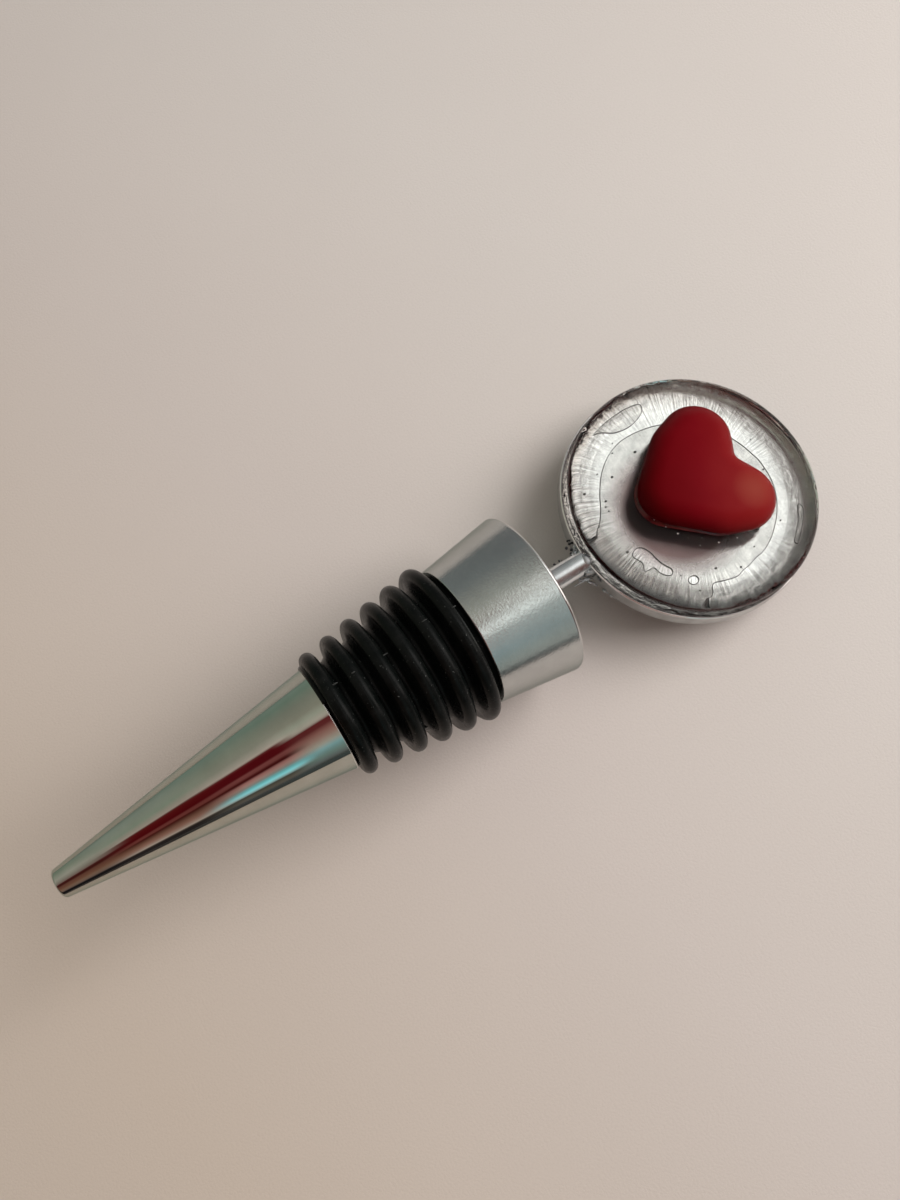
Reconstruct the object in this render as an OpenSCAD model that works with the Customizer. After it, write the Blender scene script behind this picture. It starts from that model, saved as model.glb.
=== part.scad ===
// Wine bottle stopper: a tapered plug and ribbed sleeve, a flared collar, and a round
// head with a glass disc and a heart, on a short post. It lies on its collar's rim and
// its head's far edge, with the head towards +X. Millimetres.
// Each piece is first built about the stopper's axis, which is local X with the plug's
// tip at 0. The head's face looks along local +Z. lie_down() then sets it on the table.

/* [Plug] */
// Length of the tapered plug, tip to shoulder
plug_length = 40.4; // [30:0.1:55]
// Diameter at the plug's tip
tip_d = 4; // [3:0.1:7]
// Diameter at the plug's shoulder
shoulder_d = 15.9; // [14:0.1:17]
// Radius round the tip's edge
tip_edge_r = 0.5; // [0.2:0.05:1]
// Radius round the shoulder's edge
shoulder_edge_r = 0.25; // [0.1:0.05:0.5]
// Diameter of the moulding stub left on the tip
stub_d = 0.7; // [0.4:0.1:1.2]
// Length of the moulding stub
stub_length = 0.3; // [0.1:0.1:0.8]
// Diameter of the spigot that carries the sleeve and the collar
spigot_d = 11; // [8:0.1:12]
// Depth of the spigot inside the collar
spigot_grip = 8; // [4:0.1:8.5]

/* [Sleeve] */
// Number of ribs
rib_count = 6; // [3:1:8]
// Spacing of the ribs
rib_pitch = 3.7; // [3.2:0.05:4.5]
// Diameter over the rib nearest the plug
first_rib_d = 19.3; // [18.5:0.1:21]
// Diameter over the rib nearest the collar
last_rib_d = 25; // [22:0.1:27]
// Radius of a rib's rounded crest
rib_crest_r = 1.1; // [0.8:0.05:1.2]
// Depth of the grooves between the ribs
groove_depth = 2.4; // [1.5:0.05:2.8]
// How much wider a rib is at its root than at its crest, each side
rib_draft = 0.3; // [0.1:0.05:0.35]
// From the plug's shoulder to the middle of the first rib
sleeve_lead = 1.4; // [1.4:0.05:2.5]
// From the middle of the last rib to the collar
sleeve_tail = 2.1; // [1.8:0.05:3.5]

/* [Collar] */
// Length of the flared collar
collar_length = 12.7; // [10:0.1:18]
// Diameter of the collar at the sleeve
collar_small_d = 22; // [20:0.1:24]
// Diameter of the collar at its rim
rim_d = 26; // [24.5:0.1:30]
// Radius round the rim's outer edge
rim_edge_r = 0.5; // [0.2:0.05:1]
// Radius round the collar's edge at the sleeve
small_edge_r = 0.25; // [0.1:0.05:0.5]

/* [Post] */
// Diameter of the neck post
post_d = 3.8; // [3:0.1:5]
// Length of post seen between the collar and the head
post_reach = 9.7; // [5:0.1:16]
// Depth of the post inside the collar
post_grip = 3.5; // [2:0.1:4]
// Spread of the solder on the head, beyond the post
solder_spread = 0.8; // [0.3:0.05:1.2]
// Length of the solder's slope along the post
solder_slope = 1.5; // [0.8:0.05:2.5]

/* [Head] */
// Outer diameter of the metal tray
tray_d = 40; // [32:0.1:46]
// Height of the tray's wall
tray_height = 3.2; // [2.8:0.1:4.5]
// How far the tray's base lies below the stopper's axis
tray_drop = 2; // [1.5:0.05:2.5]
// Thickness of the tray's base, under the recess
tray_floor = 2.35; // [1.8:0.05:2.6]
// Thickness of the wall round the tray's recess
tray_wall = 0.4; // [0.3:0.05:0.8]
// Radius round the tray's lower edge
tray_edge_r = 0.7; // [0.3:0.05:1]
// How much narrower the glass is than the tray, on the diameter
glass_inset = 0.8; // [0.6:0.05:1.4]
// Thickness of the glass disc
glass_thickness = 3.6; // [3.6:0.1:5]
// Radius round the upper edge of the glass
glass_edge_r = 1.5; // [0.5:0.1:1.5]
// Radius round the lower edge of the glass
glass_foot_r = 2; // [1.5:0.1:2]
// Thickness of the clear adhesive under the glass
adhesive_t = 0.15; // [0.1:0.05:0.3]
// Diameter of the adhesive patch
adhesive_d = 28; // [20:0.5:30]

/* [Heart] */
// Thickness of the heart
heart_t = 3; // [2:0.1:4.5]
// Length from the heart's centre to the centres of its lobes
lobe_x = 4.85; // [3.5:0.05:5]
// Half the distance between the centres of the lobes
lobe_y = 5.7; // [5:0.05:6.5]
// Radius of each lobe
lobe_r = 5.55; // [5:0.05:6]
// Length from the heart's centre to the centres of its swelling sides
side_x = 2.5; // [1:0.1:3]
// Half the distance between the centres of the swelling sides
side_y = 3.65; // [3:0.05:4.2]
// Radius of the swelling sides
side_r = 6.7; // [6:0.05:7]
// Length from the heart's centre to the centre of the blunt point
point_x = 4.4; // [3:0.1:6]
// Radius of the blunt point
point_r = 4.9; // [4:0.1:5.2]
// Length from the heart's centre to the foot of the notch between its lobes
notch_x = 8.3; // [7.5:0.05:8.8]
// Half the width of the notch's foot
notch_y = 0.3; // [0.1:0.05:0.8]
// How far in from its outline the heart's top is domed
dome_run = 3.2; // [1:0.1:4]
// Radius round the heart's lower edge
heart_foot_r = 0.6; // [0.3:0.1:0.8]
// How far the heart sits to the side of the head's centre
heart_aside = 0.8; // [0:0.05:2]
// Turn of the heart on the glass, in degrees
heart_turn = -2.5; // [-10:0.5:10]
// Thickness of the glue under the heart
glue_t = 0.15; // [0.1:0.05:0.3]
// How far the glue shows round the heart's foot
glue_rim = 1; // [0.1:0.05:1.2]

/* [Fits] */
// Clearance of round fits, on the radius
fit_gap = 0.05; // [0.02:0.01:0.2]

/* [Hidden] */
fine = 96;
over = 1;

// Stations along the stopper's axis
sleeve_start = plug_length;
first_rib_x = sleeve_start + sleeve_lead;
last_rib_x = first_rib_x + (rib_count - 1) * rib_pitch;
collar_start = last_rib_x + sleeve_tail;
collar_end = collar_start + collar_length;
head_x = collar_end + post_reach + tray_d / 2;

// Heights from the stopper's axis, along the head's face direction
tray_z = -tray_drop;
floor_z = tray_z + tray_floor;
lip_z = tray_z + tray_height;
glass_z = floor_z + adhesive_t;
glass_top_z = glass_z + glass_thickness;
heart_z = glass_top_z + glue_t;
glue_out = glue_rim - heart_foot_r;
notch_r = point_r;

// The glass is pushed towards the far side, until its rounded foot meets the tray's lip
glass_d = tray_d - glass_inset;
lip_r = tray_wall / 2;
lip_centre = tray_d / 2 - lip_r;
foot_centre = glass_d / 2 - glass_foot_r;
foot_above_lip = glass_z + glass_foot_r - (lip_z - lip_r);
foot_reach = glass_foot_r + lip_r + fit_gap;
glass_shift = lip_centre - foot_centre - sqrt(foot_reach * foot_reach - foot_above_lip * foot_above_lip);

// How far the tray's wall falls back at the edge of the solder
wall_back = tray_d / 2 - sqrt(tray_d * tray_d / 4 - pow(post_d / 2 + solder_spread, 2));

// Where a rounded edge of radius r ends a cone: the centre's distance from the axis
function edge_centre(side_r, slope, r) = side_r - r * tan(slope) - r / cos(slope);
collar_slope = atan((rim_d - collar_small_d) / 2 / collar_length);
rim_centre = edge_centre(rim_d / 2, collar_slope, rim_edge_r);
plug_slope = atan((shoulder_d - tip_d) / 2 / plug_length);
tip_centre = edge_centre(tip_d / 2, -plug_slope, tip_edge_r);

// The table touches the collar's rim and the tray's far lower edge
rim_x = collar_end - rim_edge_r;
edge_x = head_x + tray_d / 2 - tray_edge_r;
edge_z = tray_z + tray_edge_r;
span_x = edge_x - rim_x;
span_z = edge_z + rim_centre;
tilt = atan2(span_z, span_x) - asin((tray_edge_r - rim_edge_r) / norm([span_x, span_z]));
lift = rim_x * sin(tilt) + rim_centre * cos(tilt) + rim_edge_r;

// Ends of the stopper as it lies, for centring it
stub_end = -stub_length * cos(tilt) - stub_d / 2 * sin(tilt);
tip_end = tip_edge_r * cos(tilt) - tip_centre * sin(tilt) - tip_edge_r;
lip_end = (head_x + lip_centre) * cos(tilt) + (lip_z - lip_r) * sin(tilt) + lip_r;
glass_reach = head_x + glass_shift + glass_d / 2 - glass_edge_r;
glass_end = glass_reach * cos(tilt) + (glass_top_z - glass_edge_r) * sin(tilt) + glass_edge_r;
middle_x = (min(stub_end, tip_end) + max(lip_end, glass_end)) / 2;

// Lays the stopper on the table
module lie_down() {
    translate([-middle_x, 0, lift])
        rotate([0, tilt, 0])
            children();
}

// Revolves a profile drawn as [distance from axis, distance along axis] about local X
module turned() {
    rotate([0, 90, 0])
        rotate_extrude($fn = fine)
            children();
}

// Revolves a profile about the head's own axis
module head_turned() {
    translate([head_x, 0, 0])
        rotate_extrude($fn = fine)
            children();
}

// Half section of a cone from r1 at y1 to r2 at y2, with a rounded edge at each end
module cone_profile(y1, r1, edge1, y2, r2, edge2) {
    slope = atan((r2 - r1) / (y2 - y1));
    c1 = edge_centre(r1, -slope, edge1);
    c2 = edge_centre(r2, slope, edge2);
    polygon([
        [0, y1],
        [c1, y1],
        [c1 + edge1 * cos(slope), y1 + edge1 - edge1 * sin(slope)],
        [c2 + edge2 * cos(slope), y2 - edge2 - edge2 * sin(slope)],
        [c2, y2],
        [0, y2]
    ]);
    translate([c1, y1 + edge1])
        circle(edge1, $fn = 48);
    translate([c2, y2 - edge2])
        circle(edge2, $fn = 48);
}

// Half section of a disc from z1 to z2, with rounded outer edges
module disc_profile(r, z1, foot_r, z2, top_r, round_fn = 48) {
    translate([0, z1])
        square([r - foot_r, z2 - z1 - top_r]);
    translate([0, z1 + foot_r])
        square([r, z2 - z1 - foot_r - top_r]);
    translate([0, z1 + foot_r])
        square([r - top_r, z2 - z1 - foot_r]);
    translate([r - foot_r, z1 + foot_r])
        circle(foot_r, $fn = round_fn);
    translate([r - top_r, z2 - top_r])
        circle(top_r, $fn = round_fn);
}

module plug() {
    color("silver")
        lie_down() {
            turned()
                cone_profile(0, tip_d / 2, tip_edge_r, plug_length, shoulder_d / 2, shoulder_edge_r);
            rotate([0, -90, 0])
                translate([0, 0, -over])
                    cylinder(d = stub_d, h = stub_length + over, $fn = 24);
            rotate([0, 90, 0])
                translate([0, 0, plug_length - over])
                    cylinder(d = spigot_d, h = collar_start + spigot_grip - plug_length + over, $fn = fine);
        }
}

// Radius over the ribs at a place along the axis
function rib_r(x) = (first_rib_d + (last_rib_d - first_rib_d) * (x - first_rib_x)
    / (last_rib_x - first_rib_x)) / 2;

module rib_profile(x) {
    crest = rib_r(x) - rib_crest_r;
    root = rib_r(x) - groove_depth;
    half = rib_crest_r + rib_draft;
    polygon([
        [root, x - half],
        [crest, x - rib_crest_r],
        [crest, x + rib_crest_r],
        [root, x + half]
    ]);
    translate([crest, x])
        circle(rib_crest_r, $fn = 48);
}

module sleeve() {
    bore_r = spigot_d / 2 + fit_gap;
    color([0.07, 0.07, 0.07])
        lie_down()
            turned() {
                polygon([
                    [bore_r, sleeve_start],
                    [rib_r(sleeve_start) - groove_depth, sleeve_start],
                    [rib_r(collar_start) - groove_depth, collar_start],
                    [bore_r, collar_start]
                ]);
                for (i = [0 : rib_count - 1])
                    rib_profile(first_rib_x + i * rib_pitch);
            }
}

module collar() {
    color([0.72, 0.74, 0.75])
        lie_down()
            difference() {
                turned()
                    cone_profile(collar_start, collar_small_d / 2, small_edge_r,
                                 collar_end, rim_d / 2, rim_edge_r);
                translate([collar_start - over, 0, 0])
                    rotate([0, 90, 0])
                        cylinder(r = spigot_d / 2 + fit_gap, h = spigot_grip + over, $fn = fine);
                translate([collar_end - post_grip, 0, 0])
                    rotate([0, 90, 0])
                        cylinder(r = post_d / 2 + fit_gap, h = post_grip + over, $fn = fine);
            }
}

// The tray's outer cylinder, which shapes what meets its wall
module tray_outside() {
    translate([head_x, 0, -tray_d / 2])
        cylinder(d = tray_d, h = tray_d, $fn = 2 * fine);
}

module post_rod(d) {
    translate([collar_end - post_grip, 0, 0])
        rotate([0, 90, 0])
            cylinder(d = d, h = post_grip + post_reach + tray_d / 4, $fn = fine);
}

module neck_post() {
    color([0.8, 0.81, 0.82])
        lie_down()
            difference() {
                post_rod(post_d);
                tray_outside();
            }
}

module solder_joint() {
    color([0.66, 0.67, 0.68])
        lie_down()
            intersection() {
                difference() {
                    translate([collar_end + post_reach + wall_back - solder_slope, 0, 0])
                        rotate([0, 90, 0])
                            cylinder(d1 = post_d, d2 = post_d + 2 * solder_spread, h = solder_slope, $fn = fine);
                    post_rod(post_d);
                    tray_outside();
                }
                translate([collar_end, -tray_d / 2, tray_z + tray_edge_r])
                    cube([tray_d / 2, tray_d, tray_height - tray_edge_r - lip_r]);
            }
}

module tray() {
    color([0.75, 0.76, 0.77])
        lie_down()
            head_turned() {
                difference() {
                    disc_profile(tray_d / 2, tray_z, tray_edge_r, lip_z, lip_r);
                    translate([-over, floor_z])
                        square([tray_d / 2 - tray_wall + over, tray_height]);
                    translate([-over, lip_z - lip_r])
                        square([lip_centre + over, tray_height]);
                }
                translate([lip_centre, lip_z - lip_r])
                    circle(lip_r, $fn = 48);
            }
}

module adhesive_film() {
    color([0.9, 0.9, 0.85, 0.5])
        lie_down()
            translate([head_x, 0, floor_z])
                cylinder(d = adhesive_d, h = adhesive_t, $fn = fine);
}

module glass_disc() {
    color([0.85, 0.9, 0.9, 0.4])
        lie_down()
            translate([glass_shift, 0, 0])
                head_turned()
                    disc_profile(glass_d / 2, glass_z, glass_foot_r, glass_top_z, glass_edge_r);
}

// Sets a shape at the heart's place on the glass
module on_glass(z) {
    translate([head_x, heart_aside, z])
        rotate([0, 0, heart_turn])
            children();
}

// A disc of radius r with the heart's rounded foot and domed top
module heart_button(r) {
    rotate_extrude($fn = 36) {
        square([r - heart_foot_r, heart_foot_r]);
        translate([r - heart_foot_r, heart_foot_r])
            circle(heart_foot_r, $fn = 20);
        square([r - dome_run, heart_t]);
        intersection() {
            translate([r - dome_run, heart_foot_r])
                scale([dome_run, heart_t - heart_foot_r])
                    circle(1, $fn = 40);
            translate([0, heart_foot_r])
                square([r, heart_t]);
        }
    }
}

// One half of the heart: the blunt point, a swelling side and a lobe, blended
module heart_half(side) {
    hull() {
        translate([-point_x, 0, 0])
            heart_button(point_r);
        translate([side_x, side * side_y, 0])
            heart_button(side_r);
        translate([lobe_x, side * lobe_y, 0])
            heart_button(lobe_r);
    }
}

// The foot of the notch between the lobes
module heart_notch() {
    hull()
        for (side = [-1, 1])
            translate([notch_x - notch_r, side * notch_y, 0])
                heart_button(notch_r);
}

module heart() {
    color([0.62, 0.03, 0.07])
        lie_down()
            on_glass(heart_z) {
                heart_half(1);
                heart_half(-1);
                heart_notch();
            }
}

module heart_glue() {
    color([0.8, 0.75, 0.7, 0.6])
        lie_down()
            on_glass(glass_top_z)
                linear_extrude(glue_t)
                    for (side = [-1, 1])
                        hull() {
                            translate([-point_x, 0])
                                circle(point_r + glue_out, $fn = 36);
                            translate([side_x, side * side_y])
                                circle(side_r + glue_out, $fn = 36);
                            translate([lobe_x, side * lobe_y])
                                circle(lobe_r + glue_out, $fn = 36);
                        }
}

plug();
sleeve();
collar();
neck_post();
solder_joint();
tray();
adhesive_film();
glass_disc();
heart_glue();
heart();
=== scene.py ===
import math

import bmesh
import bpy
from mathutils import Matrix, Vector, noise as relief


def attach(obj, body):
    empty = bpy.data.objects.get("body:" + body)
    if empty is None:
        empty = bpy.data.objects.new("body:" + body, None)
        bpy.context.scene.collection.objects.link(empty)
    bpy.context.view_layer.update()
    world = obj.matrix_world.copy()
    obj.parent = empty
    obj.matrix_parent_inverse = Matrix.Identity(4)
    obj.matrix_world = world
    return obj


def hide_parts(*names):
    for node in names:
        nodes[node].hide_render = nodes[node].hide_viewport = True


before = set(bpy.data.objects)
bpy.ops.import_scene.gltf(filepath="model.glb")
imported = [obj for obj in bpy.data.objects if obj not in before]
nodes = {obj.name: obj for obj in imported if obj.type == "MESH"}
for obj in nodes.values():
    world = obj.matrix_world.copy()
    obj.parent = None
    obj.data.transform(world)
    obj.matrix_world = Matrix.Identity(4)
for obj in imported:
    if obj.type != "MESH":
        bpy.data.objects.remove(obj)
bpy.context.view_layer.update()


# --- Camera ---------------------------------------------------------------------------
# A phone held close above the table, a little in front of the stopper, with its top
# edge turned so that the head points to the upper right.
camera_data = bpy.data.cameras.new("camera")
camera_data.sensor_width = 36.0
camera_data.lens = 27.03
camera_data.clip_start = 0.004
camera_data.clip_end = 20.0
camera = bpy.data.objects.new("camera", camera_data)
camera.location = (-0.002027, -0.026092, 0.143704)
camera.rotation_euler = [math.radians(a) for a in (12.4118, 6.3824, -33.5329)]
bpy.context.scene.collection.objects.link(camera)
bpy.context.scene.camera = camera
bpy.context.scene.view_settings.view_transform = "Standard"


# --- Table ----------------------------------------------------------------------------
# A pale laminate table top with a fine pebbled grain. It is the stage and carries the
# soft shadow of the stopper.
def new_finish(name, settings=None):
    """A new material, its node tree, its Principled shader and its Object coordinates."""
    material = bpy.data.materials.new(name)
    material.use_nodes = True
    tree = material.node_tree
    shader = tree.nodes["Principled BSDF"]
    for socket, value in (settings or {}).items():
        shader.inputs[socket].default_value = value
    return material, tree, shader, object_place(tree)


def join(tree, source, target):
    tree.links.new(source, target)


def noise(tree, position, scale, detail=2.0, roughness=0.5):
    node = tree.nodes.new("ShaderNodeTexNoise")
    node.inputs["Scale"].default_value = scale
    node.inputs["Detail"].default_value = detail
    node.inputs["Roughness"].default_value = roughness
    join(tree, position, node.inputs["Vector"])
    return node.outputs["Fac"]


def ramp(tree, source, stops, smooth=False):
    """Colours along a value. stops is a list of (place, grey or colour)."""
    node = tree.nodes.new("ShaderNodeValToRGB")
    band = node.color_ramp
    band.interpolation = "EASE" if smooth else "LINEAR"
    while len(band.elements) < len(stops):
        band.elements.new(0.5)
    for element, (place, colour) in zip(band.elements, stops):
        element.position = place
        element.color = (*colour, 1.0) if isinstance(colour, tuple) else (colour,) * 3 + (1.0,)
    join(tree, source, node.inputs["Fac"])
    return node.outputs["Color"]


def maths(tree, operation, first, second=None):
    """One Math node. first and second are sockets or plain numbers."""
    node = tree.nodes.new("ShaderNodeMath")
    node.operation = operation
    for socket, value in zip(node.inputs, (first, second)):
        if value is None:
            continue
        if isinstance(value, (int, float)):
            socket.default_value = value
        else:
            join(tree, value, socket)
    return node.outputs[0]


def blended(tree, share, first, second, way="MIX"):
    """A colour mix. share, first and second are sockets or plain values."""
    node = tree.nodes.new("ShaderNodeMix")
    node.data_type = "RGBA"
    node.blend_type = way
    for socket, value in zip((node.inputs[0], node.inputs[6], node.inputs[7]), (share, first, second)):
        if isinstance(value, (int, float, tuple)):
            socket.default_value = (*value, 1.0) if isinstance(value, tuple) else value
        else:
            join(tree, value, socket)
    return node.outputs[2]


def bumped(tree, shader, height, distance, strength=1.0, under=None):
    """Relief from a height, over the relief that under gives."""
    node = tree.nodes.new("ShaderNodeBump")
    node.inputs["Distance"].default_value = distance
    node.inputs["Strength"].default_value = strength
    join(tree, height, node.inputs["Height"])
    if under is not None:
        join(tree, under, node.inputs["Normal"])
    join(tree, node.outputs["Normal"], shader.inputs["Normal"])
    return node.outputs["Normal"]


def object_place(tree, stretch=(1.0, 1.0, 1.0), turn=(0.0, 0.0, 0.0), shift=(0.0, 0.0, 0.0)):
    """Object coordinates through a Mapping node."""
    place = tree.nodes.new("ShaderNodeTexCoord")
    mapping = tree.nodes.new("ShaderNodeMapping")
    mapping.vector_type = "POINT"
    mapping.inputs["Scale"].default_value = stretch
    mapping.inputs["Rotation"].default_value = turn
    mapping.inputs["Location"].default_value = shift
    join(tree, place.outputs["Object"], mapping.inputs["Vector"])
    return mapping.outputs["Vector"]


def place_object(name, bm, *materials):
    mesh = bpy.data.meshes.new(name)
    bm.to_mesh(mesh)
    bm.free()
    made = bpy.data.objects.new(name, mesh)
    bpy.context.scene.collection.objects.link(made)
    for material in materials:
        mesh.materials.append(material)
    return made


TABLE_HALF = 1.6
TABLE_NEAR = 0.13
NEAR_DARK = (0.03, 0.03, 0.032)

table_finish, tree, shader, spot = new_finish("pale_laminate")
drift = object_place(tree, (6.0, 6.0, 6.0), (0.0, 0.0, math.radians(-10.0)), (0.5, 0.0, 0.0))
along = tree.nodes.new("ShaderNodeSeparateXYZ")
join(tree, drift, along.inputs["Vector"])
# Painted light: the table's colour grows lighter towards the head's side, a painted falloff of the window's
# light.
painted_window_falloff = ramp(tree, along.outputs["X"], [(0.02, (0.595, 0.515, 0.445)), (0.45, (0.615, 0.562, 0.530)),
                                         (0.85, (0.630, 0.598, 0.572))])
pebble = ramp(tree, noise(tree, spot, 2600.0, 2.0, 0.6), [(0.3, 0.965), (0.7, 1.0)])
cloud = ramp(tree, noise(tree, spot, 14.0, 3.0), [(0.3, 0.97), (0.7, 1.0)])
laminate = blended(tree, 1.0, blended(tree, 1.0, painted_window_falloff, pebble, "MULTIPLY"), cloud, "MULTIPLY")
# Painted reflection: seen in polished metal, the table beyond its near edge is painted dark, to stand for the
# dark room there.
across = tree.nodes.new("ShaderNodeSeparateXYZ")
join(tree, spot, across.inputs["Vector"])
beyond = ramp(tree, maths(tree, "MULTIPLY", across.outputs["Y"], -1.0),
              [(TABLE_NEAR, 0.0), (TABLE_NEAR + 0.006, 1.0)])
mirrored = tree.nodes.new("ShaderNodeLightPath")
darkened = maths(tree, "MULTIPLY", beyond, mirrored.outputs["Is Glossy Ray"])
join(tree, blended(tree, darkened, laminate, NEAR_DARK), shader.inputs["Base Color"])
shader.inputs["Roughness"].default_value = 0.42
shader.inputs["Specular IOR Level"].default_value = 0.3
bumped(tree, shader, noise(tree, spot, 2600.0, 2.0, 0.6), 0.00006, 0.6)

bm = bmesh.new()
bmesh.ops.create_grid(bm, x_segments=8, y_segments=8, size=TABLE_HALF)
table = place_object("table_top", bm, table_finish)


# --- Light ----------------------------------------------------------------------------
# A broad window on the head's side and a white ceiling light the stopper. Polished metal
# shows the room: a grey wall, the window, and a dark red cloth on the near side. The room's
# colour follows the angle about the stopper's length.
def lamp(name, place, aim, size, watts, colour):
    data = bpy.data.lights.new(name, "AREA")
    data.shape = "RECTANGLE"
    data.size, data.size_y = size
    data.energy = watts
    data.color = colour
    made = bpy.data.objects.new(name, data)
    made.location = place
    made.rotation_euler = (Vector(aim) - Vector(place)).to_track_quat("-Z", "Y").to_euler()
    made.visible_glossy = False
    made.visible_transmission = False
    bpy.context.scene.collection.objects.link(made)


def vector_maths(tree, operation, first, second=None):
    """One Vector Math node. second is a socket or a fixed vector."""
    node = tree.nodes.new("ShaderNodeVectorMath")
    node.operation = operation
    join(tree, first, node.inputs[0])
    if isinstance(second, tuple):
        node.inputs[1].default_value = second
    elif second is not None:
        join(tree, second, node.inputs[1])
    return node.outputs["Value" if operation in ("DOT_PRODUCT", "LENGTH", "DISTANCE") else "Vector"]


def by_angle(stops):
    """Colours by the angle about the stopper: 0 degrees is straight up, and it grows towards the near side."""
    return ramp(tree, turn_share, [(0.5 + degrees / 360.0, colour) for degrees, colour in stops])


WINDOW_WAY = (0.800, -0.045, 0.598)
WINDOW_LIGHT = (2.50, 2.47, 2.40)
LOW_PANE_WAY = (0.882, -0.301, 0.361)
LOW_PANE_LIGHT = (2.6, 2.45, 2.3)
BACKDROP = (0.66, 0.63, 0.59, 1.0)
STATION_LEAN = -0.15

lamp("window", (0.475, -0.105, 0.38), (0.0, 0.0, 0.0), (0.46, 0.42), 3.6, (1.0, 0.950, 0.925))
lamp("ceiling", (0.0, 0.1, 1.5), (0.0, 0.0, 0.0), (2.6, 2.6), 2.3, (0.90, 0.985, 0.975))

world = bpy.data.worlds.new("room")
world.use_nodes = True
bpy.context.scene.world = world
tree = world.node_tree
look = tree.nodes.new("ShaderNodeTexCoord")
parts = tree.nodes.new("ShaderNodeSeparateXYZ")
join(tree, look.outputs["Generated"], parts.inputs["Vector"])
turn_angle = maths(tree, "ARCTAN2", maths(tree, "MULTIPLY", parts.outputs["Y"], -1.0), parts.outputs["Z"])
turn_share = maths(tree, "ADD", maths(tree, "DIVIDE", turn_angle, 2.0 * math.pi), 0.5)

tip_side = by_angle([
    (-96, (0.22, 0.26, 0.20)), (-72, (0.215, 0.255, 0.195)), (-48, (0.31, 0.33, 0.265)),
    (-24, (0.41, 0.39, 0.33)), (-10, (0.34, 0.31, 0.26)), (2, (0.27, 0.22, 0.185)),
    (9, (0.25, 0.16, 0.14)), (12, (0.10, 0.03, 0.025)), (20, (0.07, 0.010, 0.008)),
    (25, (0.08, 0.022, 0.016)), (31, (0.17, 0.065, 0.045)), (47, (0.22, 0.10, 0.065)),
    (58, (0.26, 0.15, 0.105)), (68, (0.22, 0.14, 0.11)), (73, (0.12, 0.08, 0.07)),
    (77, (0.012, 0.010, 0.011)), (100, (0.015, 0.015, 0.017)),
])
middle_side = by_angle([
    (-96, (0.19, 0.22, 0.185)), (-88, (0.21, 0.245, 0.205)), (-72, (0.27, 0.31, 0.26)),
    (-48, (0.29, 0.32, 0.26)), (-30, (0.29, 0.33, 0.26)), (-18, (0.38, 0.35, 0.29)),
    (-7, (0.47, 0.38, 0.33)), (-3, (0.13, 0.020, 0.018)), (4, (0.12, 0.008, 0.009)),
    (20, (0.10, 0.004, 0.006)), (24, (0.20, 0.045, 0.040)), (30, (0.20, 0.050, 0.042)),
    (34, (0.075, 0.010, 0.008)), (39, (0.12, 0.040, 0.028)), (47, (0.22, 0.10, 0.07)),
    (57, (0.34, 0.17, 0.13)), (66, (0.44, 0.30, 0.25)), (71, (0.54, 0.42, 0.36)),
    (75, (0.08, 0.06, 0.05)), (80, (0.025, 0.018, 0.018)), (100, (0.04, 0.036, 0.034)),
])
waist_side = by_angle([
    (-96, (0.18, 0.225, 0.185)), (-86, (0.205, 0.27, 0.225)), (-73, (0.22, 0.27, 0.22)),
    (-48, (0.27, 0.29, 0.23)), (-25, (0.34, 0.33, 0.27)), (-12, (0.47, 0.42, 0.36)),
    (-5, (0.58, 0.48, 0.42)), (-1, (0.16, 0.028, 0.028)), (4, (0.115, 0.006, 0.009)),
    (18, (0.11, 0.006, 0.009)), (22, (0.25, 0.070, 0.066)), (28, (0.22, 0.060, 0.056)),
    (32, (0.09, 0.012, 0.011)), (36, (0.07, 0.007, 0.007)), (40, (0.42, 0.18, 0.165)),
    (47, (0.48, 0.28, 0.25)), (53, (0.32, 0.32, 0.30)), (59, (0.20, 0.58, 0.62)),
    (66, (0.36, 0.98, 1.08)), (71, (0.38, 0.60, 0.62)), (75, (0.09, 0.08, 0.065)),
    (84, (0.15, 0.13, 0.105)), (90, (0.09, 0.09, 0.09)), (100, (0.04, 0.042, 0.040)),
])
shoulder_side = by_angle([
    (-96, (0.17, 0.215, 0.18)), (-86, (0.205, 0.27, 0.225)), (-73, (0.19, 0.255, 0.205)),
    (-49, (0.26, 0.27, 0.22)), (-25, (0.32, 0.31, 0.25)), (-12, (0.43, 0.44, 0.36)),
    (-1, (0.52, 0.47, 0.40)), (3, (0.46, 0.38, 0.33)), (7, (0.15, 0.026, 0.026)),
    (15, (0.15, 0.030, 0.030)), (20, (0.24, 0.085, 0.075)), (25, (0.32, 0.14, 0.12)),
    (36, (0.41, 0.25, 0.21)), (48, (0.47, 0.43, 0.37)), (54, (0.38, 0.48, 0.47)),
    (59, (0.28, 0.48, 0.50)), (66, (0.22, 0.36, 0.36)), (73, (0.20, 0.29, 0.265)),
    (84, (0.16, 0.18, 0.177)), (90, (0.08, 0.085, 0.08)), (100, (0.10, 0.105, 0.10)),
])
sleeve_end_side = by_angle([
    (-96, (0.185, 0.20, 0.195)), (-68, (0.185, 0.20, 0.197)), (-50, (0.195, 0.215, 0.21)),
    (-31, (0.30, 0.31, 0.28)), (-13, (0.36, 0.365, 0.32)), (6, (0.44, 0.43, 0.38)),
    (15, (0.64, 0.66, 0.62)), (20, (1.15, 1.22, 1.16)), (27, (1.00, 1.08, 1.02)),
    (34, (0.48, 0.54, 0.52)), (44, (0.40, 0.46, 0.455)), (62, (0.31, 0.375, 0.38)),
    (80, (0.34, 0.38, 0.35)), (98, (0.34, 0.34, 0.31)),
])
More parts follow.
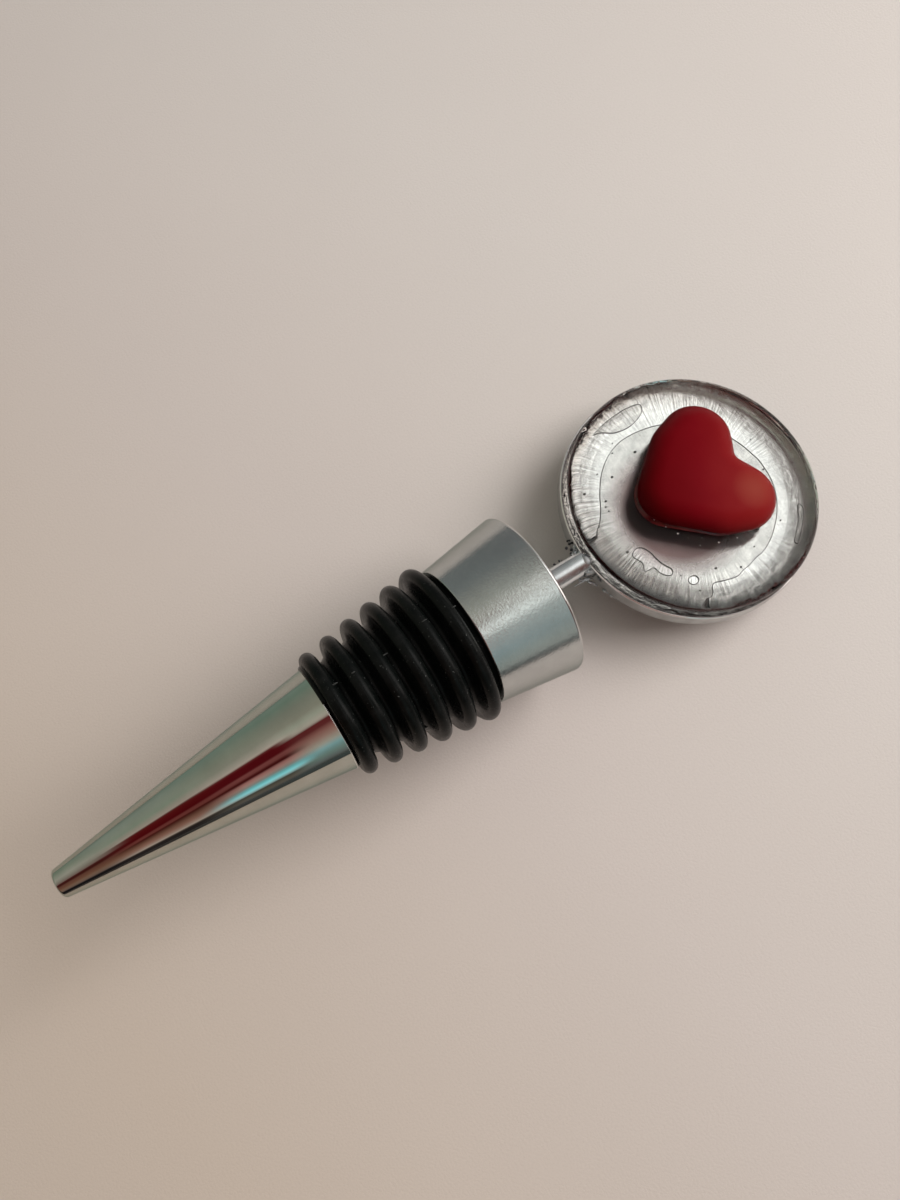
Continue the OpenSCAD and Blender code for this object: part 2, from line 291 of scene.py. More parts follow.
collar_side = by_angle([
    (-96, (0.17, 0.185, 0.18)), (-69, (0.155, 0.172, 0.168)), (-50, (0.175, 0.195, 0.19)),
    (-34, (0.24, 0.255, 0.24)), (-20, (0.37, 0.40, 0.37)), (-8, (0.62, 0.66, 0.61)),
    (1, (1.15, 1.20, 1.13)), (14, (1.18, 1.25, 1.18)), (26, (1.02, 1.10, 1.06)),
    (35, (0.54, 0.62, 0.59)), (46, (0.44, 0.52, 0.495)), (62, (0.34, 0.415, 0.405)),
    (80, (0.38, 0.41, 0.375)), (98, (0.34, 0.345, 0.32)),
])
rim_side = by_angle([
    (-96, (0.20, 0.18, 0.18)), (-40, (0.20, 0.17, 0.17)), (-14, (0.12, 0.04, 0.04)),
    (0, (0.11, 0.010, 0.014)), (30, (0.12, 0.012, 0.016)), (44, (0.24, 0.20, 0.19)),
    (98, (0.34, 0.33, 0.31)),
])
head_side = by_angle([
    (-96, (0.16, 0.16, 0.15)), (-60, (0.26, 0.27, 0.26)), (-30, (0.42, 0.43, 0.41)),
    (-8, (0.56, 0.56, 0.54)), (16, (0.54, 0.53, 0.50)), (34, (0.30, 0.24, 0.21)),
    (50, (0.15, 0.07, 0.06)), (90, (0.07, 0.035, 0.03)),
])
# How far along the stopper a polished cone turned towards the viewer looks.
station = maths(tree, "ADD", maths(tree, "MULTIPLY", parts.outputs["Z"], STATION_LEAN), parts.outputs["X"])
station_share = maths(tree, "ADD", station, 0.5)
walls = tip_side
stations = ((0.065, 0.110, middle_side), (0.160, 0.225, waist_side), (0.265, 0.300, shoulder_side),
            (0.400, 0.490, sleeve_end_side), (0.535, 0.600, collar_side), (0.650, 0.670, rim_side),
            (0.850, 0.900, head_side))
for start, end, side in stations:
    walls = blended(tree, ramp(tree, station_share, [(start, 0.0), (end, 1.0)], smooth=True), walls, side)
towards = vector_maths(tree, "DOT_PRODUCT", look.outputs["Generated"], WINDOW_WAY)
pane = ramp(tree, towards, [(0.88, 0.0), (0.935, 0.19), (0.965, 0.40), (0.980, 0.72), (0.989, 1.0)])
lower = vector_maths(tree, "DOT_PRODUCT", look.outputs["Generated"], LOW_PANE_WAY)
low_pane = ramp(tree, lower, [(0.95, 0.0), (0.99, 1.0)], smooth=True)
room = tree.nodes["Background"]
windows = blended(tree, pane, walls, WINDOW_LIGHT)
join(tree, blended(tree, low_pane, windows, LOW_PANE_LIGHT), room.inputs["Color"])
room.inputs["Strength"].default_value = 1.0
plain = tree.nodes.new("ShaderNodeBackground")
plain.inputs["Color"].default_value = BACKDROP
seen = tree.nodes.new("ShaderNodeLightPath")
choose = tree.nodes.new("ShaderNodeMixShader")
join(tree, seen.outputs["Is Camera Ray"], choose.inputs[0])
join(tree, room.outputs[0], choose.inputs[1])
join(tree, plain.outputs[0], choose.inputs[2])
join(tree, choose.outputs[0], tree.nodes["World Output"].inputs["Surface"])


# --- Tapered plug ---------------------------------------------------------------------
# A cone moulded in hard plastic and given a mirror coat in a vacuum. A spigot behind its
# shoulder carries the sleeve and the collar, and its gate is left as a small stub on the
# tip.
MM = 0.001
AXIS_TILT = math.radians(12.42983)
AXIS_MIDDLE = 61.11065 * MM
AXIS_LIFT = 28.68127 * MM
LAID = Matrix.Translation((-AXIS_MIDDLE, 0.0, AXIS_LIFT)) @ Matrix.Rotation(AXIS_TILT, 4, "Y")
ROUND_STEPS = 192
PLUG_LENGTH = 40.4
SHOULDER_R = 7.95
TIP_R = 2.0
STUB_R = 0.35
STUB_LENGTH = 0.3
SPIGOT_R = 5.5
SPIGOT_END = 70.4
EDGE_HIGHLIGHT_BAND = 0.3
EDGE_HIGHLIGHT_FROM_R = 7.6
PLUG_SLOPE = math.degrees(math.atan((SHOULDER_R - TIP_R) / PLUG_LENGTH))


def turned(corners, steps=ROUND_STEPS):
    """A closed turned form about local X. corners are (along the axis, radius) in mm."""
    bm = bmesh.new()
    line = [bm.verts.new((x * MM, 0.0, r * MM)) for x, r in corners]
    edges = [bm.edges.new(pair) for pair in zip(line, line[1:])]
    bmesh.ops.spin(bm, geom=line + edges, cent=(0, 0, 0), axis=(1, 0, 0), dvec=(0, 0, 0),
                   angle=2 * math.pi, steps=steps, use_merge=True, use_duplicate=False)
    bmesh.ops.remove_doubles(bm, verts=bm.verts, dist=1e-7)
    bmesh.ops.recalc_face_normals(bm, faces=bm.faces)
    return bm


def rounded(bm, ring, radius, corner, segments):
    """Rounds ring edges to a radius in mm, where corner is the angle inside the material."""
    reach = radius * MM / math.tan(math.radians(corner) / 2)
    bmesh.ops.bevel(bm, geom=ring, offset=reach, offset_type="OFFSET", segments=segments,
                    profile=0.5, affect="EDGES", material=-1, clamp_overlap=True)


def ease_ring(bm, x, r, radius, corner=90.0, segments=6):
    """Rounds the ring edge at that station and radius."""
    ring = [e for e in bm.edges
            if all(abs(v.co.x - x * MM) < 1e-6 and abs(math.hypot(v.co.y, v.co.z) - r * MM) < 1e-6
                   for v in e.verts)]
    rounded(bm, ring, radius, corner, segments)


def finished(name, bm, slot, *materials, replaced=None, laid=False):
    """Lays a piece down with the stopper, unless it is already, and gives it its finish."""
    if not laid:
        bmesh.ops.transform(bm, matrix=LAID, verts=bm.verts)
    for face in bm.faces:
        face.smooth = True
    piece = place_object(name, bm, *materials)
    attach(piece, "root")
    if replaced:
        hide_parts(replaced)
    return piece


def crisp(piece):
    """Keeps flats flat beside small rounded edges."""
    fix = piece.modifiers.new("flat_faces", "WEIGHTED_NORMAL")
    fix.mode = "FACE_AREA"
    fix.weight = 100


def upright_place(tree, scale=(1.0, 1.0, 1.0)):
    """Object coordinates turned back to the stopper's own axis, then stretched."""
    place = tree.nodes.new("ShaderNodeTexCoord")
    back = tree.nodes.new("ShaderNodeMapping")
    back.vector_type = "TEXTURE"
    back.inputs["Location"].default_value = (-AXIS_MIDDLE, 0.0, AXIS_LIFT)
    back.inputs["Rotation"].default_value = (0.0, AXIS_TILT, 0.0)
    join(tree, place.outputs["Object"], back.inputs["Vector"])
    return vector_maths(tree, "MULTIPLY", back.outputs["Vector"], scale)


def mottled(tree, shader, socket, place, stops, scale, detail=2.0, roughness=0.5):
    """Noise between two tones, on one socket of the shader."""
    join(tree, ramp(tree, noise(tree, place, scale, detail, roughness), stops), shader.inputs[socket])


mirror_coat, tree, shader, spot = new_finish("mirror_coated_plastic", {"Metallic": 1.0})
mottled(tree, shader, "Base Color", spot, [(0.35, (0.53, 0.54, 0.50)), (0.7, (0.59, 0.60, 0.56))],
        300.0, 4.0, 0.6)
shader.inputs["Specular Tint"].default_value = (0.50, 0.60, 0.58, 1.0)
mottled(tree, shader, "Roughness", spot, [(0.45, 0.008), (0.75, 0.025)], 900.0, 3.0)
drawn = bumped(tree, shader, noise(tree, upright_place(tree, (60.0, 900.0, 900.0)), 1.0), 0.000003, 0.4)
bumped(tree, shader, noise(tree, spot, 240.0, 1.0), 0.00003, 0.08, under=drawn)

# A brighter, rougher copy of the coat for the shoulder's rounded edge: a painted highlight line.
edge_highlight_coat, tree, shader, spot = new_finish("mirror_coat_painted_highlight", {"Metallic": 1.0})
mottled(tree, shader, "Base Color", spot, [(0.35, (0.80, 0.80, 0.78)), (0.7, (0.94, 0.94, 0.92))], 800.0, 3.0)
mottled(tree, shader, "Roughness", spot, [(0.3, 0.18), (0.7, 0.34)], 900.0, 3.0)

bm = turned([(-STUB_LENGTH, 0), (-STUB_LENGTH, STUB_R), (0, STUB_R), (0, TIP_R),
             (PLUG_LENGTH, SHOULDER_R), (PLUG_LENGTH, SPIGOT_R), (SPIGOT_END, SPIGOT_R), (SPIGOT_END, 0)])
ease_ring(bm, 0, TIP_R, 0.5, 90 + PLUG_SLOPE)
ease_ring(bm, PLUG_LENGTH, SHOULDER_R, 0.25, 90 - PLUG_SLOPE)
ease_ring(bm, -STUB_LENGTH, STUB_R, 0.1, segments=3)
# The shoulder's rounded edge takes the painted highlight.
for face in bm.faces:
    middle = face.calc_center_median()
    beside_end = (PLUG_LENGTH - EDGE_HIGHLIGHT_BAND) * MM < middle.x < PLUG_LENGTH * MM - 1e-6
    if beside_end and math.hypot(middle.y, middle.z) > EDGE_HIGHLIGHT_FROM_R * MM:
        face.material_index = 1
plug = finished("tapered_plug", bm, "chromed_plastic", mirror_coat, edge_highlight_coat, replaced="plug")
crisp(plug)


# --- Ribbed sleeve --------------------------------------------------------------------
# Black silicone moulded in one, with six rounded ribs that grow towards the collar. It is
# stretched over the spigot, laps the plug's shoulder on one side, and keeps small ticks of
# flash along the mould's parting lines.
RIB_COUNT = 6
RIB_PITCH = 3.7
FIRST_RIB = 41.8
FIRST_RIB_R = 9.65
LAST_RIB_R = 12.5
CREST_R = 1.1
RIB_DRAFT = 0.3
GROOVE_DEPTH = 2.4
COLLAR_START = 62.4
BORE_R = 5.55
LAP_START = 40.1
LAP_END = 41.0
LAP_THICK = 0.42
LAP_FROM = 3.0
LAP_TURN = 100.0
FLASH_SIZE = (0.55, 0.11, 0.15)
# Station, angle and length of each tick of flash.
FLASH_TICKS = ((42.7, 10, 1.0), (45.5, 8, 0.6), (50.2, 7, 1.0), (56.9, 10, 0.9), (61.1, 7, 0.8),
               (54.2, 32, 0.8), (57.9, 34, 0.9), (50.8, -80, 1.1))


def blob(bm, shape, subdivisions=2):
    """A small ball, stretched and placed by a matrix. Returns its points."""
    grown = bmesh.ops.create_icosphere(bm, subdivisions=subdivisions, radius=1.0)["verts"]
    bmesh.ops.transform(bm, matrix=shape, verts=grown)
    return grown


def second_finish(points):
    """Gives the faces on these points the piece's second material."""
    for face in {f for v in points for f in v.link_faces}:
        face.material_index = 1


def rib_radius(x):
    share = (x - FIRST_RIB) / (RIB_PITCH * (RIB_COUNT - 1))
    return FIRST_RIB_R + (LAST_RIB_R - FIRST_RIB_R) * share


def sleeve_radius(x):
    """Outer radius of the sleeve at a station, ribs and grooves alike."""
    place = (x - FIRST_RIB) / RIB_PITCH
    offset = abs(place - round(place)) * RIB_PITCH
    crest = rib_radius(x)
    if offset < CREST_R:
        return crest - CREST_R + math.sqrt(CREST_R ** 2 - offset ** 2)
    return crest - GROOVE_DEPTH


silicone, tree, shader, spot = new_finish("black_silicone")
rubber = ramp(tree, noise(tree, spot, 400.0, 4.0, 0.65),
              [(0.4, (0.0022, 0.0030, 0.0028)), (0.72, (0.0065, 0.0070, 0.0068))])
dust = ramp(tree, noise(tree, spot, 2600.0, 2.0, 0.7), [(0.685, 0.0), (0.76, 1.0)])
join(tree, blended(tree, dust, rubber, (0.10, 0.105, 0.10)), shader.inputs["Base Color"])
mottled(tree, shader, "Roughness", spot, [(0.3, 0.24), (0.7, 0.36)], 700.0, 3.0)
shader.inputs["Specular IOR Level"].default_value = 0.11
bumped(tree, shader, noise(tree, spot, 1500.0, 3.0), 0.00002, 0.4)

mould_flash, tree, shader, spot = new_finish("mould_flash")
mottled(tree, shader, "Base Color", spot, [(0.35, (0.008, 0.009, 0.009)), (0.7, (0.036, 0.038, 0.037))],
        1500.0, 3.0)
shader.inputs["Roughness"].default_value = 0.5

corners = [(PLUG_LENGTH, BORE_R), (PLUG_LENGTH, rib_radius(PLUG_LENGTH) - GROOVE_DEPTH)]
for i in range(RIB_COUNT):
    x = FIRST_RIB + i * RIB_PITCH
    crest, root = rib_radius(x), rib_radius(x) - GROOVE_DEPTH
    arc = [(x - CREST_R * math.cos(a), crest - CREST_R + CREST_R * math.sin(a))
           for a in [math.pi * k / 14 for k in range(15)]]
    corners += [(x - CREST_R - RIB_DRAFT, root), *arc, (x + CREST_R + RIB_DRAFT, root)]
corners += [(COLLAR_START, rib_radius(COLLAR_START) - GROOVE_DEPTH), (COLLAR_START, BORE_R),
            (PLUG_LENGTH, BORE_R)]
bm = turned(corners)
lap_corners = ((LAP_START, SHOULDER_R - 0.08), (LAP_START + 0.12, SHOULDER_R + LAP_THICK * 0.7),
               (PLUG_LENGTH, SHOULDER_R + LAP_THICK), (LAP_END, SHOULDER_R + LAP_THICK),
               (LAP_END, SHOULDER_R - 0.9), (PLUG_LENGTH + 0.01, SHOULDER_R - 0.9))
lap = [bm.verts.new((x * MM, 0.0, r * MM)) for x, r in lap_corners]
bmesh.ops.rotate(bm, verts=lap, cent=(0, 0, 0), matrix=Matrix.Rotation(math.radians(-LAP_FROM), 3, "X"))
lap_face = bm.faces.new(lap)
bmesh.ops.spin(bm, geom=[lap_face, *lap_face.edges, *lap], cent=(0, 0, 0), axis=(1, 0, 0), dvec=(0, 0, 0),
               angle=math.radians(-LAP_TURN), steps=48, use_merge=False, use_duplicate=False)
for x, degrees, length in FLASH_TICKS:
    lean = (Matrix.Rotation(math.radians(-degrees), 4, "X")
            @ Matrix.Translation((x * MM, 0.0, sleeve_radius(x) * MM)))
    half_length, half_width, half_height = FLASH_SIZE
    shape = Matrix.Diagonal((length * half_length * MM, half_width * MM, half_height * MM, 1.0))
    second_finish(blob(bm, lean @ shape))
bmesh.ops.recalc_face_normals(bm, faces=bm.faces)
sleeve = finished("ribbed_sleeve", bm, "silicone", silicone, mould_flash, replaced="sleeve")


# --- Collar ---------------------------------------------------------------------------
# A flared ring turned in aluminium with a satin face and a thin bright rim. It is pushed
# onto the spigot, and its wide end is drilled for the neck post.
COLLAR_END = 75.1
COLLAR_SMALL_R = 11.0
RIM_R = 13.0
RIM_EDGE_R = 0.5
POST_R = 1.9
POST_GRIP = 3.5
SPIGOT_GRIP = 8.0
FIT = 0.05
RIM_BAND = 0.24
RIM_BAND_DEPTH = 1.0
COLLAR_SLOPE = math.degrees(math.atan((RIM_R - COLLAR_SMALL_R) / (COLLAR_END - COLLAR_START)))

satin_metal, tree, shader, spot = new_finish("satin_aluminium", {"Metallic": 1.0})
mottled(tree, shader, "Base Color", spot, [(0.35, (0.575, 0.585, 0.58)), (0.7, (0.63, 0.64, 0.635))],
        350.0, 4.0, 0.65)
shader.inputs["Specular Tint"].default_value = (0.50, 0.54, 0.52, 1.0)
mottled(tree, shader, "Roughness", spot, [(0.3, 0.13), (0.7, 0.21)], 2500.0, 2.0)
lathe = bumped(tree, shader, noise(tree, upright_place(tree, (2600.0, 60.0, 60.0)), 1.0), 0.000006, 0.35)
bumped(tree, shader, noise(tree, spot, 3000.0, 2.0), 0.000022, 0.8, under=lathe)

polished_edge, tree, shader, spot = new_finish("polished_edge", {"Metallic": 1.0})
mottled(tree, shader, "Base Color", spot, [(0.35, (0.82, 0.80, 0.79)), (0.7, (0.93, 0.91, 0.90))], 500.0, 3.0)
mottled(tree, shader, "Roughness", spot, [(0.3, 0.05), (0.7, 0.12)], 1400.0, 2.0)

bm = turned([(COLLAR_START + SPIGOT_GRIP, 0), (COLLAR_START + SPIGOT_GRIP, SPIGOT_R + FIT),
             (COLLAR_START, SPIGOT_R + FIT), (COLLAR_START, COLLAR_SMALL_R), (COLLAR_END, RIM_R),
             (COLLAR_END, POST_R + FIT), (COLLAR_END - POST_GRIP, POST_R + FIT), (COLLAR_END - POST_GRIP, 0)])
ease_ring(bm, COLLAR_START, COLLAR_SMALL_R, 0.25, 90 + COLLAR_SLOPE)
ease_ring(bm, COLLAR_END, RIM_R, RIM_EDGE_R, 90 - COLLAR_SLOPE)
for face in bm.faces:
    middle = face.calc_center_median()
    at_rim = math.hypot(middle.y, middle.z) > (RIM_R - RIM_BAND_DEPTH) * MM
    if at_rim and middle.x > (COLLAR_END - RIM_BAND) * MM:
        face.material_index = 1
collar = finished("flared_collar", bm, "satin_aluminium", satin_metal, polished_edge, replaced="collar")
crisp(collar)


# --- Neck post ------------------------------------------------------------------------
# A short plated rod pressed into the collar and soldered to the edge of the tray. Its
# plating is drawn along its length and a little dulled by the soldering.
plated_rod, tree, shader, spot = new_finish("plated_rod", {"Metallic": 1.0})
mottled(tree, shader, "Base Color", spot, [(0.35, (0.70, 0.74, 0.76)), (0.7, (0.84, 0.87, 0.88))], 600.0, 3.0)
mottled(tree, shader, "Roughness", spot, [(0.3, 0.10), (0.7, 0.24)], 1500.0, 2.0)
bumped(tree, shader, noise(tree, upright_place(tree, (120.0, 1500.0, 1500.0)), 1.0), 0.000008, 0.5)
nodes["neck_post"].data.materials.clear()
nodes["neck_post"].data.materials.append(plated_rod)


# --- Solder joint ---------------------------------------------------------------------
# Soft solder run in on both sides of the post where it meets the tray. It has left a thin
# burr under the post, small drops along the tray's edge and dark grains in the corners.
# Place, half sizes and turn of each run, and place and radius of each grain.
SOLDER_RUNS = ((83.6, -2.35, -0.5, 1.1, 0.28, 0.22, 20), (84.3, -3.3, -0.9, 0.9, 0.24, 0.20, 60),
               (82.3, -2.45, -0.2, 1.0, 0.10, 0.12, 2), (84.9, 2.4, 0.6, 0.55, 0.4, 0.3, -50),
               (85.5, -5.3, -1.6, 0.55, 0.20, 0.18, 68), (85.9, -6.5, -1.6, 0.45, 0.16, 0.15, 66),
               (84.8, -0.2, 1.75, 0.7, 0.9, 0.22, 0))
SOLDER_GRAINS = ((80.8, 2.0, 0.1, 0.26), (81.7, 2.05, 0.2, 0.22), (82.3, 2.0, -0.4, 0.18),
                 (83.9, 2.0, 0.5, 0.30), (84.4, 2.6, 0.2, 0.30), (84.1, 3.3, -0.3, 0.30),
                 (84.9, 3.6, -0.3, 0.28), (85.1, 4.3, -0.8, 0.22))


def cad_form(name):
    """A piece's mesh as the CAD part gives it, with its corners joined up."""
    bm = bmesh.new()
    bm.from_mesh(nodes[name].data)
    bmesh.ops.remove_doubles(bm, verts=bm.verts, dist=2e-7)
    return bm



solder, tree, shader, spot = new_finish("soft_solder", {"Metallic": 1.0})
mottled(tree, shader, "Base Color", spot, [(0.35, (0.34, 0.36, 0.37)), (0.7, (0.58, 0.59, 0.60))], 900.0, 3.0)
mottled(tree, shader, "Roughness", spot, [(0.3, 0.16), (0.7, 0.42)], 900.0, 3.0)
bumped(tree, shader, noise(tree, spot, 1600.0, 2.0), 0.00003, 0.5)

burnt_flux, tree, shader, spot = new_finish("burnt_flux")
mottled(tree, shader, "Base Color", spot, [(0.4, (0.008, 0.009, 0.012)), (0.65, (0.06, 0.06, 0.065))],
        2500.0, 3.0)
mottled(tree, shader, "Roughness", spot, [(0.3, 0.25), (0.7, 0.6)], 1500.0, 2.0)

bm = cad_form("solder_joint")
bmesh.ops.transform(bm, matrix=LAID.inverted(), verts=bm.verts)
for x, y, z, length, width, height, degrees in SOLDER_RUNS:
    shape = (Matrix.Translation((x * MM, y * MM, z * MM)) @ Matrix.Rotation(math.radians(-degrees), 4, "Z")
             @ Matrix.Diagonal((length * MM, width * MM, height * MM, 1.0)))
    blob(bm, shape, 3)
for x, y, z, r in SOLDER_GRAINS:
    grown = bmesh.ops.create_icosphere(bm, subdivisions=2, radius=r * MM)["verts"]
    for v in grown:
        v.co *= 0.8 + 0.6 * relief.noise(v.co * 5500.0 + Vector((x, y, z)))
    bmesh.ops.translate(bm, verts=grown, vec=(x * MM, y * MM, z * MM))
    second_finish(grown)
solder_run = finished("solder_run", bm, "solder", solder, burnt_flux, replaced="solder_joint")


# --- Tray -----------------------------------------------------------------------------
# A plated metal plate with a shallow recess and a thin raised lip. Its floor is wiped and
# blotchy, with short radial scratches where it meets the lip.
HEAD_X = 104.8
TRAY_R = 20.0
TRAY_Z = -2.0
LIP_Z = 1.2
FLOOR_Z = 0.35
TRAY_WALL = 0.4
TRAY_EDGE_R = 0.7
LIP_ROUND = 0.199
CLOTH_REFLECTION_LEAN = (-0.002538, -0.000918)
SHADE_RING_LEAN = (0.00126, 0.00034)
HEART_SHADE_MIDDLE = (HEAD_X - 3.2, -1.0, FLOOR_Z)
HEART_SHADE_RED = (0.21, 0.125, 0.125)
SHADE_RING_GREY = (0.36, 0.335, 0.315)
HIGHLIGHT_LINE_BRIGHT = (1.0, 0.98, 0.95)


def head_turned(corners, steps=ROUND_STEPS, shift=0.0):
    """A closed turned form about the head's own axis. corners are (radius, height) in mm."""
    bm = bmesh.new()
    line = [bm.verts.new((r * MM, 0.0, z * MM)) for r, z in corners]
    edges = [bm.edges.new(pair) for pair in zip(line, line[1:])]
    bmesh.ops.spin(bm, geom=line + edges, cent=(0, 0, 0), axis=(0, 0, 1), dvec=(0, 0, 0),
                   angle=2 * math.pi, steps=steps, use_merge=True, use_duplicate=False)
    bmesh.ops.remove_doubles(bm, verts=bm.verts, dist=1e-7)
    bmesh.ops.translate(bm, verts=bm.verts, vec=((HEAD_X + shift) * MM, 0, 0))
    bmesh.ops.recalc_face_normals(bm, faces=bm.faces)
    return bm


def ease_hoop(bm, r, z, radius, segments=5, shift=0.0):
    """Rounds the ring edge of the head at that radius and height."""
    ring = [e for e in bm.edges
            if all(abs(v.co.z - z * MM) < 1e-6
                   and abs(math.hypot(v.co.x - (HEAD_X + shift) * MM, v.co.y) - r * MM) < 1e-6
                   for v in e.verts)]
    rounded(bm, ring, radius, 90.0, segments)


def head_flat(tree):
    """The place across the head's face, measured from its axis."""
    offset = vector_maths(tree, "SUBTRACT", upright_place(tree), (HEAD_X * MM, 0.0, 0.0))
    return vector_maths(tree, "MULTIPLY", offset, (1.0, 1.0, 0.0))


def head_polar(tree, around, outward=0.0):
    """A pattern place by direction from the head's axis, the distance from it in m, and the direction."""
    flat = head_flat(tree)
    far = vector_maths(tree, "LENGTH", flat)
    split = tree.nodes.new("ShaderNodeSeparateXYZ")
    join(tree, vector_maths(tree, "NORMALIZE", flat), split.inputs["Vector"])
    both = tree.nodes.new("ShaderNodeCombineXYZ")
    join(tree, maths(tree, "MULTIPLY", split.outputs["X"], around), both.inputs["X"])
    join(tree, maths(tree, "MULTIPLY", split.outputs["Y"], around), both.inputs["Y"])
    join(tree, maths(tree, "MULTIPLY", far, outward), both.inputs["Z"])
    return both.outputs["Vector"], far, split.outputs["X"], split.outputs["Y"]


def leaning(tree, across_head, lean):
    """A length in m that grows one way across the head."""
    return maths(tree, "ADD", maths(tree, "MULTIPLY", across_head[0], lean[0]),
                 maths(tree, "MULTIPLY", across_head[1], lean[1]))


def centred_noise(tree, place, scale, detail, roughness):
    return maths(tree, "SUBTRACT", noise(tree, place, scale, detail, roughness), 0.5)


def span_from(tree, point):
    """The distance in m from a point given in mm on the stopper's own axes."""
    return vector_maths(tree, "DISTANCE", upright_place(tree), tuple(c * MM for c in point))


plated_tray, tree, shader, spot = new_finish("plated_tray", {"Metallic": 1.0})
blotches = ramp(tree, noise(tree, spot, 260.0, 5.0, 0.7),
                [(0.32, (0.70, 0.705, 0.70)), (0.68, (0.94, 0.945, 0.93))])
streaks, distance, *across_head = head_polar(tree, 42.0, 90.0)
# Painted reflections, shade and highlight: a ragged brown band under the glass on the side of the post and on
# the near side is a painted reflection of a dark red cloth, a dull grey band on the far side is painted shade,
# and a thin crooked bright line across them is a painted highlight of the glass's wavy foot. Their ramps run
# over distances from the head's axis in m.
ragged = maths(tree, "MULTIPLY", centred_noise(tree, streaks, 1.3, 5.0, 0.75), 0.0050)
# Painted reflection of the dark red cloth: a ragged brown band near the lip.
cloth_reflection_reach = maths(tree, "ADD", maths(tree, "ADD", distance, ragged), leaning(tree, across_head, CLOTH_REFLECTION_LEAN))
painted_cloth_reflection = ramp(tree, cloth_reflection_reach, [(0.0182, 0.0), (0.0187, 0.85), (0.0191, 1.0)])
painted_cloth_reflection = maths(tree, "MULTIPLY", painted_cloth_reflection, ramp(tree, distance, [(0.0184, 1.0), (0.0189, 0.1)]))
# Painted shade: a dull grey band on the far side.
shade_ring_reach = maths(tree, "ADD", maths(tree, "ADD", distance, maths(tree, "MULTIPLY", ragged, 0.4)),
                   leaning(tree, across_head, SHADE_RING_LEAN))
painted_shade_ring = ramp(tree, shade_ring_reach, [(0.0175, 0.0), (0.0179, 0.9), (0.0182, 1.0)])
# Painted highlight: a thin crooked bright line along the glass's wavy foot.
crooked = maths(tree, "MULTIPLY", centred_noise(tree, head_polar(tree, 5.0)[0], 1.0, 4.0, 0.6), 0.0022)
scallops = maths(tree, "MULTIPLY", centred_noise(tree, head_polar(tree, 24.0)[0], 1.0, 2.0, 0.5), 0.0016)
highlight_line_place = maths(tree, "ADD", maths(tree, "ADD", distance, crooked), scallops)
painted_highlight_line = ramp(tree, highlight_line_place, [(0.01735, 0.0), (0.0176, 1.0), (0.0178, 1.0), (0.0180, 0.0)])
# Painted shade and reflection of the heart: a dull red-brown patch on the floor below it, which is also
# rougher.
painted_heart_shade = ramp(tree, span_from(tree, HEART_SHADE_MIDDLE), [(0.0074, 1.0), (0.0106, 0.0)], smooth=True)
heart_shaded = blended(tree, painted_heart_shade, blotches, HEART_SHADE_RED)
shade_ringed = blended(tree, painted_shade_ring, heart_shaded, SHADE_RING_GREY)
# The brown tones of the painted cloth reflection.
cloth_reflection_tone = ramp(tree, noise(tree, streaks, 2.2, 4.0, 0.7),
            [(0.40, (0.040, 0.023, 0.018)), (0.62, (0.135, 0.092, 0.078))])
cloth_reflected = blended(tree, painted_cloth_reflection, shade_ringed, cloth_reflection_tone)
highlight_lined = blended(tree, maths(tree, "MULTIPLY", painted_highlight_line, 0.9), cloth_reflected, HIGHLIGHT_LINE_BRIGHT)
join(tree, highlight_lined, shader.inputs["Base Color"])
wiped_finish = ramp(tree, noise(tree, spot, 1200.0, 3.0), [(0.3, 0.10), (0.7, 0.20)])
join(tree, blended(tree, painted_heart_shade, wiped_finish, (0.34, 0.34, 0.34)), shader.inputs["Roughness"])
near_lip = ramp(tree, distance, [(0.0140, 0.05), (0.0178, 1.0)])
scratches = maths(tree, "MULTIPLY", noise(tree, streaks, 1.0, 4.0, 0.7), near_lip)
brushed = bumped(tree, shader, scratches, 0.00026, 0.5)
at_lip = ramp(tree, distance, [(0.0180, 0.0), (0.0188, 1.0)])
wrinkles = noise(tree, head_polar(tree, 9.0, 900.0)[0], 1.0, 3.0, 0.55)
folded = bumped(tree, shader, maths(tree, "MULTIPLY", wrinkles, at_lip), 0.0006, 0.6, under=brushed)
strokes = noise(tree, upright_place(tree, (2200.0, 150.0, 1.0)), 1.0, 1.0)
painted_sheen = bumped(tree, shader, strokes, 0.00002, 0.5, under=folded)
wiped = bumped(tree, shader, noise(tree, spot, 190.0, 4.0, 0.65), 0.00018, 0.2, under=painted_sheen)
bumped(tree, shader, noise(tree, spot, 520.0, 1.0), 0.00004, 0.4, under=wiped)

# Painted shade: a darker copy of the tray's metal for its outer wall, standing for the shaded table it mirrors.
plated_wall_painted_shade, tree, shader, spot = new_finish("plated_wall_painted_shade", {"Metallic": 1.0})
mottled(tree, shader, "Base Color", spot, [(0.35, (0.36, 0.37, 0.365)), (0.7, (0.46, 0.47, 0.465))], 500.0, 3.0)
mottled(tree, shader, "Roughness", spot, [(0.3, 0.10), (0.7, 0.22)], 900.0, 2.0)

